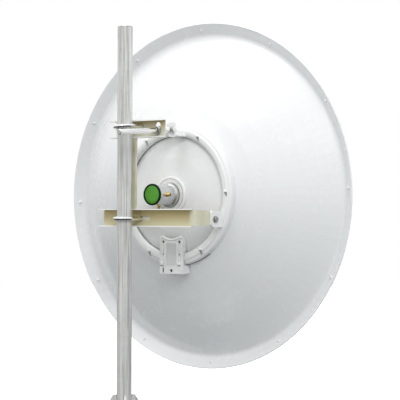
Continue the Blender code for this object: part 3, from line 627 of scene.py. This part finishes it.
def softbox(name, place, aim, size, power, colour=(1.0, 1.0, 1.0), spread=180.0):
    data = bpy.data.lights.new(name, "AREA")
    data.shape = "RECTANGLE"
    data.size, data.size_y = size
    data.energy = power
    data.color = colour
    data.spread = math.radians(spread)
    lamp = bpy.data.objects.new(name, data)
    bpy.context.scene.collection.objects.link(lamp)
    lamp.location = place
    lamp.rotation_euler = (Vector(aim) - Vector(place)).to_track_quat("-Z", "Y").to_euler()
    return lamp


WORLD_FILL, KEY_W, TOP_W, LEFT_W = 0.78, 75.0, 42.0, 16.0
PATCHES = [((0.0, -2.07, 2.83), (0.85, 0.34), 1.6), ((0.73, -2.47, 2.09), (0.65, 0.16), 0.6),
           ((1.56, -2.13, 2.22), (0.5, 0.14), 0.45)]


def build_stage():
    scene = bpy.context.scene
    scene.view_settings.view_transform = "Standard"
    scene.view_settings.look = "None"

    world = bpy.data.worlds.new("studio")
    scene.world = world
    world.use_nodes = True
    tree = world.node_tree
    tree.nodes.clear()
    out = tree.nodes.new("ShaderNodeOutputWorld")
    coords = tree.nodes.new("ShaderNodeTexCoord")
    split = tree.nodes.new("ShaderNodeSeparateXYZ")
    tree.links.new(coords.outputs["Generated"], split.inputs[0])
    span = tree.nodes.new("ShaderNodeMapRange")
    span.inputs["From Min"].default_value = -1.0
    tree.links.new(split.outputs["Z"], span.inputs["Value"])
    path = tree.nodes.new("ShaderNodeLightPath")

    def glow(stops, strength):
        ramp = tree.nodes.new("ShaderNodeValToRGB")
        tree.links.new(span.outputs["Result"], ramp.inputs["Fac"])
        band = ramp.color_ramp
        while len(band.elements) < len(stops):
            band.elements.new(0.5)
        for element, (at, colour) in zip(band.elements, stops):
            element.position = at
            element.color = (*colour, 1.0)
        made = tree.nodes.new("ShaderNodeBackground")
        tree.links.new(ramp.outputs["Color"], made.inputs["Color"])
        made.inputs["Strength"].default_value = strength
        return made.outputs[0]

    def choose(ray, no, yes):
        made = tree.nodes.new("ShaderNodeMixShader")
        tree.links.new(path.outputs[ray], made.inputs["Fac"])
        tree.links.new(no, made.inputs[1])
        tree.links.new(yes, made.inputs[2])
        return made.outputs[0]

    fill = glow([(0.0, (0.52, 0.55, 0.56)), (0.40, (0.52, 0.55, 0.56)), (0.52, (0.76, 0.77, 0.78)),
                 (0.66, (1.0, 1.0, 1.0)), (1.0, (1.05, 1.05, 1.05))], WORLD_FILL)
    mirror = glow([(0.0, (0.03, 0.03, 0.03)), (0.38, (0.10, 0.10, 0.10)), (0.48, (0.50, 0.50, 0.50)),
                   (0.56, (0.95, 0.95, 0.95)), (1.0, (1.1, 1.1, 1.1))], 1.0)
    plain = tree.nodes.new("ShaderNodeBackground")
    plain.inputs["Color"].default_value = (1.0, 1.0, 1.0, 1.0)
    lit = choose("Is Glossy Ray", fill, mirror)
    tree.links.new(choose("Is Camera Ray", lit, plain.outputs[0]), out.inputs["Surface"])

    bm = bmesh.new()
    bmesh.ops.create_circle(bm, cap_ends=True, segments=96, radius=9.0)
    mesh = bpy.data.meshes.new("floor")
    bm.to_mesh(mesh)
    bm.free()
    floor = bpy.data.objects.new("floor", mesh)
    scene.collection.objects.link(floor)
    floor.location = (0.0, 0.0, -0.0006)
    p = Paint("floor_pale").put(Roughness=0.9)
    p.put(Base_Color=(0.86, 0.86, 0.86, 1.0), Emission_Color=(1.0, 1.0, 1.0, 1.0))
    away = p.node("ShaderNodeVectorMath", Vector=p.place)
    away.operation = "LENGTH"
    fade = p.node("ShaderNodeMapRange", Value=away.outputs["Value"])
    for key, value in (("From Min", 0.25), ("From Max", 0.95), ("To Min", 0.25), ("To Max", 1.0)):
        fade.inputs[key].default_value = value
    p.link(fade.outputs["Result"], "Emission Strength")
    floor.data.materials.append(p.mat)
    floor.visible_diffuse = False
    floor.visible_glossy = False

    centre = dish(0.0, -0.1, 0.0)
    key = softbox("key_softbox", (3.2, -2.6, 3.0), centre, (1.6, 1.6), KEY_W)
    key.visible_glossy = False
    softbox("top_softbox", (-0.4, -0.4, 3.6), centre, (2.6, 2.0), TOP_W)
    left = softbox("left_softbox", (-3.2, -1.6, 1.0), centre, (2.4, 2.4), LEFT_W)
    left.visible_glossy = False
    # Small boxes that show as soft patches in the coating
    for k, (place, size, power) in enumerate(PATCHES):
        softbox("patch_softbox_%d" % k, place, centre, size, power)

    data = bpy.data.cameras.new("camera")
    data.sensor_width = 36.0
    data.lens = 135.85
    data.clip_end = 100.0
    camera = bpy.data.objects.new("camera", data)
    scene.collection.objects.link(camera)
    ahead = Vector((-0.59715573, 0.80205115, 0.01090809)).normalized()
    right = Vector((0.80211, 0.59717, 0.0))
    right = (right - ahead * right.dot(ahead)).normalized()
    up = right.cross(ahead)
    roll = math.radians(0.141)
    side = right * math.cos(roll) + up * math.sin(roll)
    top = up * math.cos(roll) - right * math.sin(roll)
    turn = Matrix((side, top, -ahead)).transposed().to_4x4()
    camera.matrix_world = Matrix.Translation((2.79404, -3.38625, 0.61388)) @ turn
    scene.camera = camera


build_stage()
